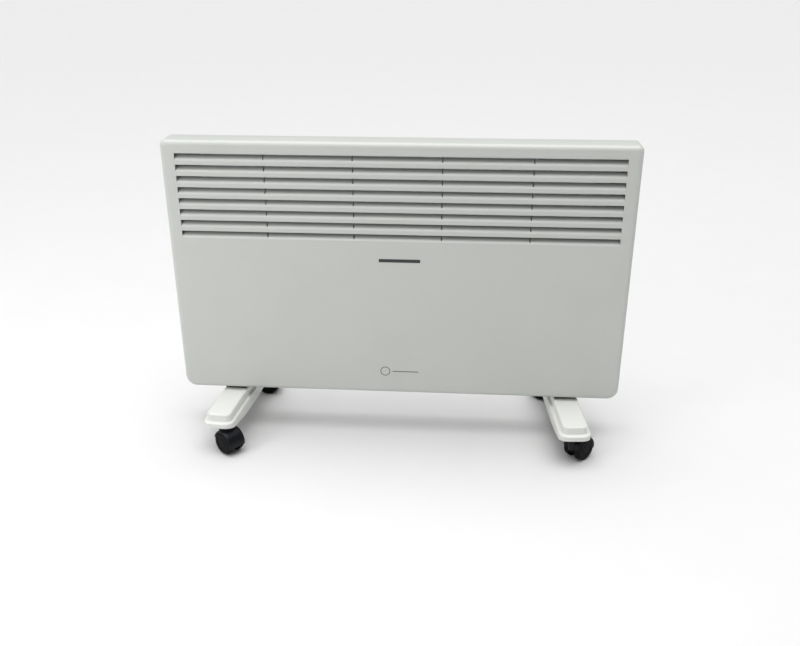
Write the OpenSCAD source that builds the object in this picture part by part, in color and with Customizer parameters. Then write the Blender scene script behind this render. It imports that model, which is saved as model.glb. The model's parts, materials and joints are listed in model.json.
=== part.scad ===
// Mobile convector heater: a flat steel case on two plastic feet with four
// twin-wheel casters. Millimetres, +Z up, the front looks toward -Y.
// Origin: on the floor, under the middle of the whole heater.

/* [Case] */
// Width of the case
body_w = 690; // [680:1:700]
// Height of the case
body_h = 400; // [398:1:404]
// Depth of the front shell
shell_d = 42; // [41:0.5:43]
// Depth of the whole case
body_d = 60; // [58:0.5:62]
// Height of the case's lower edge above the floor
body_z = 71; // [71:0.5:74]
// Thickness of the case's steel sheet
sheet = 1.2; // [1:0.1:1.4]
// Radius of the bend round the front face
edge_r = 7.5; // [6:0.5:7.5]
// Radius of the two top corners
top_r = 8; // [8:0.5:9]
// Radius of the two bottom corners
bottom_r = 18; // [16:1:20]
// Width of the return lip at the back of the shell
lip_w = 9; // [9:0.5:10]

/* [Louvres] */
// Number of louvre openings
slot_count = 8; // [6:1:8]
// Distance from one louvre to the next
slot_pitch = 16.7; // [16:0.1:17]
// Width of the louvre openings
slot_w = 648; // [630:1:650]
// Distance from the case's top to the first opening
slot_top = 18.4; // [18:0.2:20]
// Height of each opening above its blade's lip
opening_h = 8.2; // [8:0.1:8.6]
// Outside radius of the bend at the blade's lip
lip_r = 3.8; // [3.4:0.1:4]
// Angle of the blades from the vertical front
blade_tilt = 45; // [40:1:50]
// Length of the flat part of a blade
blade_len = 8; // [7:0.5:9]
// Number of bays that the ribs divide the openings into
bay_count = 5; // [4:1:6]
// Thickness of a rib
rib_t = 2.4; // [2:0.2:3]
// Width of the slit between two blades, in front of each rib
slit_w = 2; // [1.6:0.2:2.2]

/* [Heating] */
// Number of cooling fins on the element
fin_count = 43; // [30:1:44]
// Distance from fin to fin
fin_pitch = 12; // [11:0.5:12]
// Radius of the sheathed element rod
rod_r = 3.25; // [3:0.05:3.3]
// Radius of the blower's impeller
impeller_r = 17; // [16:0.5:17]
// Length of the blower's impeller
impeller_l = 180; // [160:2:180]
// Number of blades on the impeller
impeller_blades = 20; // [16:1:24]

/* [Feet] */
// Distance of each foot's middle from the case's middle
foot_x = 263; // [258:1:266]
// Angle by which each foot's front end turns outward
foot_toe = 5; // [3:0.5:6]
// Length of a foot
foot_l = 234; // [230:1:238]
// Width of a foot's raised deck
deck_w = 38; // [36:0.5:39]
// Step from the deck out to the brim
brim_step = 5; // [4.5:0.25:5.5]
// Height of the deck's top above the floor
deck_z = 66.5; // [66:0.25:67]
// Height of the brim's top above the floor
brim_z = 54; // [53:0.5:55]
// Height of the skirt's lower edge at the ends
skirt_end_z = 46; // [45.5:0.25:47]
// Height of the skirt's lower edge at the middle
skirt_mid_z = 34; // [33:0.5:36]
// Distance of a caster's swivel axis from the foot's middle
swivel_y = 95; // [93:0.5:96]

/* [Casters] */
// Radius of a caster wheel
wheel_r = 19; // [18.5:0.25:19]
// Width of a caster wheel
wheel_w = 9.4; // [9:0.1:9.6]
// Width of the gap between a caster's two wheels
wheel_gap = 12.4; // [12:0.1:12.6]
// Distance from the swivel axis to the axle
trail = 16; // [15:0.5:17]
// Radius of the caster's fixed stem
stem_r = 3.5; // [3.4:0.05:3.6]
// Direction of the front left caster's trail
yaw_front_left = -38; // [-60:1:-20]
// Direction of the front right caster's trail
yaw_front_right = 45; // [20:1:70]
// Direction of the rear left caster's trail
yaw_rear_left = 0; // [-15:1:15]
// Direction of the rear right caster's trail
yaw_rear_right = 142; // [120:1:160]

/* [Hidden] */
$fn = 64;

// clearances
eps = 0.01;
snug = 0.02;      // radial play of a fixed pin in its hole
running = 0.05;   // radial play of a turning shaft in its bearing
loose = 0.2;      // radial play of a screw in a clearance hole

// colours
case_white = [0.93, 0.94, 0.92];
steel = [0.72, 0.73, 0.75];
black = [0.10, 0.10, 0.11];
dark_grey = [0.25, 0.26, 0.27];

// case
front_y = -body_d / 2;
back_y = body_d / 2;
body_top = body_z + body_h;
wall_x = body_w / 2 - sheet;      // inner face of the shell's side walls
screw_inset = 5.5;                // cover screws, from the case's outline
screw_x = [-300, -100, 100, 300];
screw_z = [200, 340];
screw_r = 1.5;
screw_in = 3.5;                   // how far a cover screw reaches into the shell
screw_head_r = 3.2;
screw_head_t = 2;
vent_count = 25;                  // air inlets in the shell's bottom
vent_pitch = 16;
vent_w = 10;
vent_y = [-17, 5];

// rear cover
flange_gap = 1;                   // the cover's flange inside the shell's outline
pan_inset = 12;
pan_t = 1;
pan_r = 5;
pan_top_r = 10;
pan_bottom_r = 14;
pan_w = body_w - 2 * pan_inset;
pan_h = body_h - 2 * pan_inset;
inlet_count = 41;
inlet_pitch = 14;
inlet_w = 5;
inlet_h = 50;
inlet_z = 96;
bracket_x = 200;                  // half the spacing of the wall bracket's holes
bracket_z = [190, 420];
bracket_r = 2.75;

// louvres, measured down from the case's top
lip_rise = lip_r * sin(blade_tilt);
opening_cut = opening_h + lip_rise;
bay_w = slot_w / bay_count;
blade_step = 0.03;                // the blade is this much thinner than its bend on each face
blade_root = 0.3;                 // and starts this far inside the bend
rib_y = [7.7, 14];                // behind the front face: the ribs pass behind the blades
rib_over = 6;                     // how far a rib reaches past the first and last opening
rib_tab = 5;                      // height of the tabs that join a rib to the front sheet

// heating parts
shield_y = 14;
shield_t = 0.8;
shield_x = [-300, 286];
shield_z = [130, 452];
shield_roof_y = -14;              // front edge of the shield's folded top
spacer_r = 4;                     // round spacers between the shield and the cover
spacer_inset = 30;
spacer_z = [176, 438];
fin_t = 0.8;
fin_y = [-16, 8];
fin_z = [212, 268];
rod_y = -4;
rod_z = [228, 252];
bracket_plate_x = 258;
bracket_plate_t = 1.2;
bracket_plate_y = -20;
bracket_plate_z = [204, 276];
insulator_r = 6.5;
insulator_t = 3.2;
lead_over = 26;                   // how far the rod's cold ends pass the bracket
bend_over = 4;                    // how far the rod's bend starts past the bracket
cutout_x = 150;                   // thermal cut-out, on the shield
cutout_z = 302;
cutout_r = 8.5;
cutout_t = 8;
cutout_pin_x = 4.5;

// blower
fan_x0 = -130;
fan_y = -7;
fan_z = 152;
shaft_r = 2.5;
bush_r = 6;
end_plate_t = 1.5;
end_plate_y = 18;                 // end plates, out from the impeller's axis
end_plate_z = [-22, 24];
fan_gap = 2.5;
scroll_t = 0.8;
scroll_r = impeller_r + 1.8;
fan_x1 = fan_x0 + impeller_l + 2 * fan_gap;
motor_l = 32;
impeller_gap = 1.5;
disc_t = 1.2;                     // impeller's end and middle discs
hub_r = 5;
hub_l = 8;
vane_w = 4.6;
vane_t = 0.7;
shaft_over = 6;
motor_r = 9;                      // motor's bearing housings
core_x = [8, 20];                 // motor's stack of laminations, along the axis
core_half = [16, 20];             // and across it
coil_x = [4, 24];
coil_half = 12;
coil_z = [-34, -19.99];
lug_z = 15;

// controls, in a tray recessed into the case's right side
tray_y = -6;
tray_w = 25;
tray_z = [317, 439];
tray_flange = 3;
tray_wall = 1.5;
tray_floor = 2;
tray_depth = 14.5;
floor_x = wall_x - tray_depth;
rocker_tilt = 12;
rocker_z = [409, 383, 357];
rocker_half = 8.6;
rocker_w = 12.4;
switch_w = 16;
switch_h = 22;
switch_l = 22;
bezel_t = 1.2;
pivot_r = 1;
pivot_x = floor_x - 1;
knob_z = 331;
knob_r = 10.5;
knob_l = 9;
flute_count = 18;
spindle_r = 3;
collar_r = spindle_r + 1.5;
thermostat_half = [10, 11];       // half width and half height of its body
thermostat_l = 18;
switch_pin_z = 5;
rocker_play = 0.4;
lamp_z = 430;
lamp_r = 4;

// tip-over switch
tip_x = -225;
tip_y = -4;
tip_z = 106;
tip_drop = 18;
bob_r = 4;
bob_l = 12;
tip_half = [13, 9];               // half width and half depth of the switch's case
tip_h = 40;
tip_wall = 2;

// wiring
gland_x = 200;
gland_y = 19;
gland_r = 5;
gland_flange_r = 5.85;
cord_r = 3.4;
block_z = 152;
block_w = 48;
block_d = 13;
block_h = 16;
way_pitch = 12;                   // spacing of the block's screw holes
wire_r = 1.2;
fan_wire_z = 125;

// feet
deck_t = 2.5;
skirt_t = 2.5;
pad_y = [-21, 23];
pad_w = 34;
brim_w = deck_w + 2 * brim_step;
deck_l = foot_l - 2 * brim_step - 4;
deck_corner = 9;
brim_corner = 14;
bow = skirt_end_z - skirt_mid_z;
bow_r = (pow(foot_l / 2, 2) + bow * bow) / (2 * bow);
foot_screw_y = [-12, 4];
foot_screw_r = 2;
foot_head_r = 4;
foot_head_t = 3;
foot_rib_y = [-45, -22, 22, 45];
boss_r = 7.5;

// casters
hood_in = wheel_r + 0.7;
hood_out = wheel_r + 1.6;
hood_w = wheel_gap + 2 * wheel_w - 2;
web_w = wheel_gap - 0.8;
web_r = 11;
axle_r = 2;
tread_r = 5;
hood_front = 12;
boss_z = 41;
stem_z = 27;
stem_top = 60;
swivels = [
    [-foot_x, -foot_toe, -swivel_y, yaw_front_left],
    [foot_x, foot_toe, -swivel_y, yaw_front_right],
    [-foot_x, -foot_toe, swivel_y, yaw_rear_left],
    [foot_x, foot_toe, swivel_y, yaw_rear_right]
];

// ---- shared shapes ----

// Rounded outline standing on y = 0, with its own top and bottom radii
module outline(w, h, rt, rb) {
    translate([-w / 2, rb]) square([w, h - rt - rb]);
    translate([-w / 2 + rb, 0]) square([w - 2 * rb, rb + eps]);
    translate([-w / 2 + rt, h - rt - eps]) square([w - 2 * rt, rt + eps]);
    for (s = [-1, 1]) {
        translate([s * (w / 2 - rb), rb]) circle(rb);
        translate([s * (w / 2 - rt), h - rt]) circle(rt);
    }
}

// Sweeps a profile round that outline: x = 0 is the outline, y is the depth
module rim(w, h, rt, rb) {
    translate([w / 2 - rt, h - rt, 0]) rim_corner(rt) children();
    translate([-w / 2 + rt, h - rt, 0]) rotate(90) rim_corner(rt) children();
    translate([-w / 2 + rb, rb, 0]) rotate(180) rim_corner(rb) children();
    translate([w / 2 - rb, rb, 0]) rotate(270) rim_corner(rb) children();
    translate([w / 2, rb, 0]) rim_side(h - rt - rb) children();
    translate([-w / 2, h - rt, 0]) rotate(180) rim_side(h - rt - rb) children();
    translate([w / 2 - rt, h, 0]) rotate(90) rim_side(w - 2 * rt) children();
    translate([-w / 2 + rb, 0, 0]) rotate(270) rim_side(w - 2 * rb) children();
}

module rim_corner(r) {
    rotate_extrude(angle = 90)
        intersection() {
            translate([r, 0]) children();
            square([r + 1, 200]);
        }
}

// A straight stretch along +Y, its profile's x kept along +X
module rim_side(l) {
    translate([0, l, 0]) rotate([90, 0, 0]) linear_extrude(l) children();
}

// A quarter of a ring, from the front round to the side
module bend(r, t) {
    intersection() {
        difference() {
            circle(r);
            circle(r - t);
        }
        translate([0, -r]) square(r);
    }
}

// Turns a shape drawn in the plane of the front, depth up, into the case
module stand_up() {
    translate([0, front_y, body_z]) rotate([90, 0, 0]) mirror([0, 0, 1]) children();
}

// A cylinder along +X or +Y
module rod_x(r, x0, x1, y, z) {
    translate([x0, y, z]) rotate([0, 90, 0]) cylinder(r = r, h = x1 - x0);
}
module rod_y(r, x, y0, y1, z) {
    translate([x, y0, z]) rotate([-90, 0, 0]) cylinder(r = r, h = y1 - y0);
}

// A box from its low and high corners
module block(lo, hi) {
    translate(lo) cube(hi - lo);
}

module at_foot(s) {
    translate([s * foot_x, 0, 0]) rotate(s * foot_toe) children();
}

module at_cover_screws() {
    for (x = screw_x, z = [body_z + screw_inset, body_top - screw_inset])
        translate([x, 0, z]) children();
    for (s = [-1, 1], z = screw_z)
        translate([s * (body_w / 2 - screw_inset), 0, z]) children();
}

// ---- case ----

module shell_profile() {
    translate([-edge_r, edge_r]) bend(edge_r, sheet);
    translate([-sheet, edge_r]) square([sheet, shell_d - edge_r]);
    translate([-lip_w, shell_d - sheet]) square([lip_w, sheet]);
}

// Bent lip of a blade: x is the depth behind the front, y the height above
// the flat bar's top edge
module lip_section() {
    intersection() {
        translate([lip_r, 0]) difference() {
            circle(lip_r);
            circle(lip_r - sheet);
        }
        polygon([for (k = [[0, 0], [2, 0], [2, 0.5], [2, 1]])
            [lip_r, 0] + k[0] * lip_r * [-cos(k[1] * blade_tilt), sin(k[1] * blade_tilt)]]);
    }
}

// Flat part of a blade, running on from the lip
module blade_section() {
    translate([lip_r, 0]) rotate(180 - blade_tilt)
        translate([lip_r - sheet + blade_step, -blade_len])
            square([sheet - 2 * blade_step, blade_len + blade_root]);
}

module front_panel() {
    color(case_white) difference() {
        union() {
            stand_up() {
                linear_extrude(sheet) difference() {
                    translate([0, edge_r])
                        outline(body_w - 2 * edge_r, body_h - 2 * edge_r,
                                top_r - edge_r, bottom_r - edge_r);
                    slots_2d();
                }
                rim(body_w, body_h, top_r, bottom_r) shell_profile();
            }
            louvre_blades();
        }
        at_cover_screws()
            rod_y(screw_r + snug, 0, front_y + shell_d - 3, front_y + shell_d + 1, 0);
        for (s = [-1, 1], y = foot_screw_y)
            at_foot(s) translate([0, y, body_z - 1]) cylinder(r = foot_screw_r + loose, h = 4);
        for (i = [0:vent_count - 1]) {
            x = (i - (vent_count - 1) / 2) * vent_pitch;
            block([x - vent_w / 2, vent_y[0], body_z - 1], [x + vent_w / 2, vent_y[1], body_z + 3]);
        }
        block([wall_x - 1, tray_y - tray_w / 2, tray_z[0]],
              [wall_x + 3, tray_y + tray_w / 2, tray_z[1]]);
    }
}

module slots_2d() {
    for (i = [0:slot_count - 1])
        translate([-slot_w / 2, body_h - slot_top - i * slot_pitch - opening_cut])
            square([slot_w, opening_cut]);
}

// The inclined blades, bent up and back out of the front sheet: each lip is
// one piece, and the flat part behind it is slit in front of every rib
module louvre_blades() {
    for (i = [0:slot_count - 1])
        translate([-slot_w / 2, front_y,
                   body_top - slot_top - i * slot_pitch - opening_cut])
            rotate([90, 0, 90]) {
                linear_extrude(slot_w) lip_section();
                for (j = [0:bay_count - 1]) {
                    x0 = j == 0 ? 0 : j * bay_w + slit_w / 2;
                    x1 = j == bay_count - 1 ? slot_w : (j + 1) * bay_w - slit_w / 2;
                    translate([0, 0, x0]) linear_extrude(x1 - x0) blade_section();
                }
            }
}

// Upright strips behind the blades, tabbed to the front sheet at both ends
module louvre_ribs() {
    top = body_top - slot_top + rib_over;
    low = body_top - slot_top - (slot_count - 1) * slot_pitch - opening_cut - rib_over;
    color(case_white) for (i = [1:bay_count - 1]) {
        x0 = -slot_w / 2 + i * bay_w - rib_t / 2;
        block([x0, front_y + rib_y[0], low], [x0 + rib_t, front_y + rib_y[1], top]);
        for (z = [low, top - rib_tab])
            block([x0, front_y + sheet, z], [x0 + rib_t, front_y + rib_y[0] + eps, z + rib_tab]);
    }
}

module pan_profile() {
    translate([-pan_r, body_d - pan_r]) mirror([0, 1]) bend(pan_r, pan_t);
    translate([-pan_t, shell_d]) square([pan_t, body_d - pan_r - shell_d]);
}

module rear_cover() {
    color(case_white) difference() {
        stand_up() {
            translate([0, 0, shell_d]) linear_extrude(pan_t) difference() {
                translate([0, flange_gap])
                    outline(body_w - 2 * flange_gap, body_h - 2 * flange_gap,
                            top_r - flange_gap, bottom_r - flange_gap);
                translate([0, pan_inset + pan_t])
                    outline(pan_w - 2 * pan_t, pan_h - 2 * pan_t,
                            pan_top_r - pan_t, pan_bottom_r - pan_t);
            }
            translate([0, pan_inset, 0])
                rim(pan_w, pan_h, pan_top_r, pan_bottom_r) pan_profile();
            translate([0, pan_inset + pan_r, body_d - pan_t]) linear_extrude(pan_t)
                outline(pan_w - 2 * pan_r, pan_h - 2 * pan_r,
                        pan_top_r - pan_r, pan_bottom_r - pan_r);
        }
        at_cover_screws()
            rod_y(screw_r + loose, 0, front_y + shell_d - 1, front_y + shell_d + 2, 0);
        for (i = [0:inlet_count - 1])
            block([(i - (inlet_count - 1) / 2) * inlet_pitch - inlet_w / 2, back_y - 3, inlet_z],
                  [(i - (inlet_count - 1) / 2) * inlet_pitch + inlet_w / 2, back_y + 1,
                   inlet_z + inlet_h]);
        for (s = [-1, 1], z = bracket_z)
            rod_y(bracket_r, s * bracket_x, back_y - 3, back_y + 1, z);
        translate([gland_x, gland_y, body_z + pan_inset - 1])
            cylinder(r = gland_r + snug, h = 3);
    }
}

module cover_screws() {
    color(steel) at_cover_screws() {
        rod_y(screw_r, 0, front_y + shell_d - screw_in, front_y + shell_d + pan_t, 0);
        difference() {
            rod_y(screw_head_r, 0, front_y + shell_d + pan_t,
                  front_y + shell_d + pan_t + screw_head_t, 0);
            for (a = [0, 90])
                translate([0, front_y + shell_d + pan_t + screw_head_t, 0]) rotate([0, a, 0])
                    cube([4, 1.8, 0.8], center = true);
        }
    }
}

// ---- heating parts ----

module heat_shield() {
    color(steel) {
        block([shield_x[0], shield_y, shield_z[0]], [shield_x[1], shield_y + shield_t, shield_z[1]]);
        block([shield_x[0], shield_roof_y, shield_z[1] - shield_t],
              [shield_x[1], shield_y + eps, shield_z[1]]);
        for (x = [shield_x[0] + spacer_inset, shield_x[1] - spacer_inset], z = spacer_z)
            rod_y(spacer_r, x, shield_y + shield_t - eps, back_y - pan_t, z);
    }
}

module element_fins() {
    color([0.8, 0.81, 0.82]) difference() {
        for (i = [0:fin_count - 1])
            block([(i - (fin_count - 1) / 2) * fin_pitch - fin_t / 2, fin_y[0], fin_z[0]],
                  [(i - (fin_count - 1) / 2) * fin_pitch + fin_t / 2, fin_y[1], fin_z[1]]);
        for (z = rod_z)
            rod_x(rod_r + snug, -300, 300, rod_y, z);
    }
}

module element_rod() {
    bend_r = (rod_z[1] - rod_z[0]) / 2;
    bend_x = bracket_plate_x + bend_over;
    color(dark_grey) {
        for (z = rod_z)
            rod_x(rod_r, -bracket_plate_x - lead_over, bend_x, rod_y, z);
        translate([bend_x, rod_y, (rod_z[0] + rod_z[1]) / 2]) rotate([90, 0, 0]) rotate(-90)
            rotate_extrude(angle = 180) translate([bend_r, 0]) circle(rod_r);
    }
}

module element_insulators() {
    color([0.95, 0.93, 0.88]) for (s = [-1, 1], z = rod_z) {
        x = s * (bracket_plate_x + bracket_plate_t / 2);
        difference() {
            rod_x(insulator_r, x - insulator_t / 2, x + insulator_t / 2, rod_y, z);
            rod_x(rod_r + snug, x - insulator_t, x + insulator_t, rod_y, z);
        }
    }
}

module element_brackets() {
    color(steel) for (s = [-1, 1]) {
        x = s * (bracket_plate_x + bracket_plate_t / 2);
        difference() {
            block([x - bracket_plate_t / 2, bracket_plate_y, bracket_plate_z[0]],
                  [x + bracket_plate_t / 2, shield_y, bracket_plate_z[1]]);
            for (z = rod_z)
                rod_x(insulator_r + snug, x - 2, x + 2, rod_y, z);
        }
    }
}

module thermal_cutout() {
    color(black) rod_y(cutout_r, cutout_x, shield_y - cutout_t, shield_y, cutout_z);
    color(steel) for (s = [-1, 1])
        translate([cutout_x + s * cutout_pin_x, shield_y - cutout_t - 3 + eps, cutout_z])
            cube([3, 6, 0.8], center = true);
}

// ---- blower ----

module fan_housing() {
    color(steel) difference() {
        union() {
            for (x = [fan_x0, fan_x1 - end_plate_t])
                block([x, fan_y - end_plate_y, fan_z + end_plate_z[0]],
                      [x + end_plate_t, shield_y - 1, fan_z + end_plate_z[1]]);
            difference() {
                rod_x(scroll_r + scroll_t, fan_x0 + eps, fan_x1 - eps, fan_y, fan_z);
                rod_x(scroll_r, fan_x0 + end_plate_t, fan_x1 - end_plate_t, fan_y, fan_z);
                block([fan_x0 - 1, fan_y - 30, fan_z - 30], [fan_x1 + 1, fan_y, fan_z + 30]);
            }
        }
        rod_x(bush_r + snug, fan_x0 - 1, fan_x0 + 2, fan_y, fan_z);
        rod_x(shaft_r + 1, fan_x1 - 3, fan_x1 + 1, fan_y, fan_z);
    }
}

module fan_impeller() {
    x0 = fan_x0 + end_plate_t + impeller_gap;
    l = fan_x1 - fan_x0 - 2 * (end_plate_t + impeller_gap);
    color(dark_grey) difference() {
        union() {
            for (x = [x0, x0 + (l - disc_t) / 2, x0 + l - disc_t])
                rod_x(impeller_r, x, x + disc_t, fan_y, fan_z);
            for (x = [x0, x0 + l - hub_l])
                rod_x(hub_r, x, x + hub_l, fan_y, fan_z);
            for (i = [0:impeller_blades - 1])
                translate([x0, fan_y, fan_z]) rotate([i * 360 / impeller_blades, 0, 0])
                    translate([0, impeller_r - 5, 0]) rotate([25, 0, 0])
                        cube([l, vane_w, vane_t]);
        }
        rod_x(shaft_r + snug, x0 - 1, x0 + l + 1, fan_y, fan_z);
    }
}

module fan_shaft() {
    color(steel) rod_x(shaft_r, fan_x0 - shaft_over, fan_x1 + motor_l - 4, fan_y, fan_z);
}

module fan_bearing() {
    color([0.72, 0.55, 0.3]) difference() {
        rod_x(bush_r, fan_x0 - 3, fan_x0 + end_plate_t + 0.5, fan_y, fan_z);
        rod_x(shaft_r + running, fan_x0 - 4, fan_x0 + 3, fan_y, fan_z);
    }
}

module fan_motor() {
    color(dark_grey) difference() {
        union() {
            block([fan_x1 + core_x[0], fan_y - core_half[0], fan_z - core_half[1]],
                  [fan_x1 + core_x[1], fan_y + core_half[0], fan_z + core_half[1]]);
            rod_x(motor_r, fan_x1, fan_x1 + motor_l, fan_y, fan_z);
            for (s = [-1, 1])
                block([fan_x1, fan_y - 3, fan_z + s * lug_z - 3],
                      [fan_x1 + core_x[0] + 1, fan_y + 3, fan_z + s * lug_z + 3]);
        }
        rod_x(shaft_r + running, fan_x1 - 1, fan_x1 + motor_l - 3, fan_y, fan_z);
    }
    color([0.75, 0.45, 0.2])
        block([fan_x1 + coil_x[0], fan_y - coil_half, fan_z + coil_z[0]],
              [fan_x1 + coil_x[1], fan_y + coil_half, fan_z + coil_z[1]]);
}

// ---- controls ----

module control_tray() {
    y0 = tray_y - tray_w / 2;
    y1 = tray_y + tray_w / 2;
    color(dark_grey) difference() {
        union() {
            block([wall_x - tray_wall, y0 - tray_flange, tray_z[0] - tray_flange],
                  [wall_x, y1 + tray_flange, tray_z[1] + tray_flange]);
            block([floor_x - tray_floor, y0 - tray_wall, tray_z[0] - tray_wall],
                  [wall_x - 1, y1 + tray_wall, tray_z[1] + tray_wall]);
        }
        block([floor_x, y0, tray_z[0]], [wall_x + 1, y1, tray_z[1]]);
        for (z = rocker_z)
            block([floor_x - 4, tray_y - switch_w / 2, z - switch_h / 2],
                  [floor_x + 1, tray_y + switch_w / 2, z + switch_h / 2]);
        rod_x(lamp_r + snug, floor_x - 4, floor_x + 1, tray_y, lamp_z);
        rod_x(collar_r + snug, floor_x - 4, floor_x + 1, tray_y, knob_z);
    }
}

module thermostat_body() {
    back = floor_x - tray_floor;
    color([0.85, 0.82, 0.7]) difference() {
        union() {
            block([back - thermostat_l, tray_y - thermostat_half[0], knob_z - thermostat_half[1]],
                  [back, tray_y + thermostat_half[0], knob_z + thermostat_half[1]]);
            rod_x(collar_r, back - 1, floor_x, tray_y, knob_z);
        }
        rod_x(spindle_r + running, back - 14, floor_x + 1, tray_y, knob_z);
    }
}

module thermostat_shaft() {
    color(steel) rod_x(spindle_r, floor_x - tray_floor - 13.5, floor_x + knob_l - 1, tray_y, knob_z);
}

module thermostat_knob() {
    x0 = floor_x + 1;
    color(black) difference() {
        union() {
            rod_x(knob_r, x0, x0 + knob_l, tray_y, knob_z);
            block([x0 + knob_l - 1, tray_y - 1, knob_z + 1], [x0 + knob_l + 0.6, tray_y + 1, knob_z + 9]);
        }
        for (i = [0:flute_count - 1])
            translate([0, tray_y, knob_z]) rotate([i * 360 / flute_count, 0, 0])
                rod_x(0.9, x0 + 2, x0 + knob_l + 1, 0, knob_r + 0.4);
        rod_x(spindle_r + snug, x0 - 1, x0 + knob_l - 2, tray_y, knob_z);
    }
}

// Frame of a rocker switch: a bezel on the tray's floor, a hollow for the
// rocker and two holes for its pivot pins
module switch_body(z) {
    w = switch_w - 2 * snug;
    h = switch_h - 2 * snug;
    color(black) difference() {
        union() {
            block([floor_x - switch_l, tray_y - w / 2, z - h / 2],
                  [floor_x + eps, tray_y + w / 2, z + h / 2]);
            block([floor_x, tray_y - w / 2 - 1, z - h / 2 - 1],
                  [floor_x + bezel_t, tray_y + w / 2 + 1, z + h / 2 + 1]);
        }
        block([floor_x - 9, tray_y - rocker_w / 2 - rocker_play, z - rocker_half - 1.4],
              [floor_x + 3, tray_y + rocker_w / 2 + rocker_play, z + rocker_half + 1.4]);
        rod_y(pivot_r + running, pivot_x, tray_y - w, tray_y + w, z);
    }
    color(steel) for (s = [-1, 1])
        translate([floor_x - switch_l - 3 + eps, tray_y, z + s * switch_pin_z])
            cube([6, 6, 0.8], center = true);
}

module rocker(z) {
    color(dark_grey) translate([pivot_x, tray_y, z]) rotate([0, rocker_tilt, 0])
        rotate([90, 0, 0]) {
            linear_extrude(rocker_w, center = true)
                polygon([[-1.5, -rocker_half], [4.4, -rocker_half], [3, 0],
                         [4.4, rocker_half], [-1.5, rocker_half], [-4.5, 0]]);
            cylinder(r = pivot_r, h = switch_w - 1, center = true);
        }
}

module switch_low_body() { switch_body(rocker_z[0]); }
module switch_low_rocker() { rocker(rocker_z[0]); }
module switch_high_body() { switch_body(rocker_z[1]); }
module switch_high_rocker() { rocker(rocker_z[1]); }
module switch_fan_body() { switch_body(rocker_z[2]); }
module switch_fan_rocker() { rocker(rocker_z[2]); }

module pilot_lamp_lens() {
    color([0.85, 0.35, 0.1]) translate([floor_x, tray_y, lamp_z]) rotate([0, 90, 0])
        rotate_extrude() {
            translate([0, -10]) square([lamp_r, 10 + eps]);
            intersection() {
                translate([0, -2]) circle(6);
                square(9);
            }
        }
}

module tip_over_housing() {
    low = body_z + sheet;
    color([0.9, 0.9, 0.88]) difference() {
        block([tip_x - tip_half[0], tip_y - tip_half[1], low],
              [tip_x + tip_half[0], tip_y + tip_half[1], low + tip_h]);
        block([tip_x - tip_half[0] + tip_wall, tip_y - tip_half[1] + tip_wall, low - 1],
              [tip_x + tip_half[0] - tip_wall, tip_y + tip_half[1] - tip_wall, low + tip_h - tip_wall]);
        rod_y(pivot_r + running, tip_x, tip_y - tip_half[1] + 1, tip_y + tip_half[1] - 1, tip_z);
    }
}

module tip_over_pendulum() {
    color(steel) {
        rod_y(pivot_r, tip_x, tip_y - 7.9, tip_y + 7.9, tip_z);
        rod_y(2.5, tip_x, tip_y - 5, tip_y + 5, tip_z);
        translate([tip_x, tip_y, tip_z - tip_drop]) cylinder(r = pivot_r, h = tip_drop);
        translate([tip_x, tip_y, tip_z - tip_drop - bob_l / 2]) cylinder(r = bob_r, h = bob_l);
    }
}

// ---- wiring ----

module terminal_block() {
    y1 = back_y - pan_t;
    color([0.95, 0.95, 0.93]) difference() {
        block([gland_x - block_w / 2, y1 - block_d, block_z],
              [gland_x + block_w / 2, y1, block_z + block_h]);
        for (i = [-1.5:1.5])
            rod_y(1.8, gland_x + i * way_pitch, y1 - block_d - 1, y1 - 6, block_z + block_h / 2);
    }
}

module cable_gland() {
    z = body_z + pan_inset;
    color(black) translate([gland_x, gland_y, 0]) difference() {
        union() {
            translate([0, 0, z - 8]) cylinder(r = gland_flange_r, h = 8);
            translate([0, 0, z - 0.1]) cylinder(r = gland_r, h = 8);
            translate([0, 0, z + pan_t]) cylinder(r = gland_flange_r, h = 3);
        }
        translate([0, 0, z - 9]) cylinder(r = cord_r, h = 20);
    }
}

// One wire along a list of points, with a ball at each turn
module wire(points, r) {
    for (i = [1:len(points) - 1]) {
        d = points[i] - points[i - 1];
        translate(points[i - 1])
            rotate([0, acos(d[2] / norm(d)), atan2(d[1], d[0])])
                cylinder(r = r, h = norm(d));
    }
    for (i = [1:len(points) - 2])
        translate(points[i]) sphere(r);
}

module internal_wiring() {
    y = gland_y;
    top = block_z + block_h;
    left = -bracket_plate_x - lead_over - 18;
    right = floor_x - 18;
    x_in = gland_x - way_pitch * 1.5;
    x_out = gland_x - way_pitch / 2;
    color([0.8, 0.2, 0.15])
        wire([[x_in, y, top], [x_in, y, top + 24], [left, y, top + 24],
              [left, rod_y, top + 24], [left, rod_y, rod_z[0]],
              [-bracket_plate_x - lead_over, rod_y, rod_z[0]]], wire_r);
    color([0.2, 0.3, 0.7])
        wire([[x_out, y, top], [x_out, y, top + 16], [right, y, top + 16],
              [right, tray_y, top + 16], [right, tray_y, knob_z - thermostat_half[1]]], wire_r);
    color([0.9, 0.9, 0.88])
        wire([[x_in, y, block_z], [x_in, y, fan_wire_z], [fan_x1 + 14, y, fan_wire_z],
              [fan_x1 + 14, fan_y + coil_half, fan_wire_z]], wire_r);
    color([0.75, 0.75, 0.75]) for (i = [-1, 0, 1])
        wire([[gland_x + i * 3, y, body_z + pan_inset + 8], [gland_x + i * 3, y, 110],
              [gland_x + i * way_pitch, y, 122], [gland_x + i * way_pitch, y, block_z]], wire_r);
}

// ---- feet ----

module foot_outline(w, l, r) {
    translate([0, -l / 2]) outline(w, l, r, r);
}

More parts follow.
